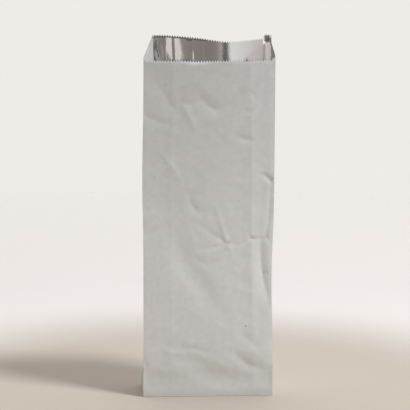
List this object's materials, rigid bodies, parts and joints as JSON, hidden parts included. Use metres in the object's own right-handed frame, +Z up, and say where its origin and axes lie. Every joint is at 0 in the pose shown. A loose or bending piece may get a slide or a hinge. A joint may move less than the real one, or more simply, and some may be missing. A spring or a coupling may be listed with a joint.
{
  "type": "foil bag",
  "caption": "Tall white paper bag lined with aluminium foil, with side gussets, a toothed top edge and a squared base, standing open and empty.",
  "frame": {"origin": "middle of the folded base, on the surface that the bag stands on", "axes": "+Z up along the bag, towards its mouth; -Y towards the lower front panel; X across the panels"},
  "size_m": [0.1217, 0.0547, 0.3317],
  "materials": {
    "paper_bag": "thin white machine-glazed kraft paper, creased and crumpled",
    "foil_lining": "bright rolled household foil, lightly wrinkled"
  },
  "bodies": {
    "root": {"paper_bag": "paper_bag", "foil_lining": "foil_lining"}
  },
  "joints": []
}
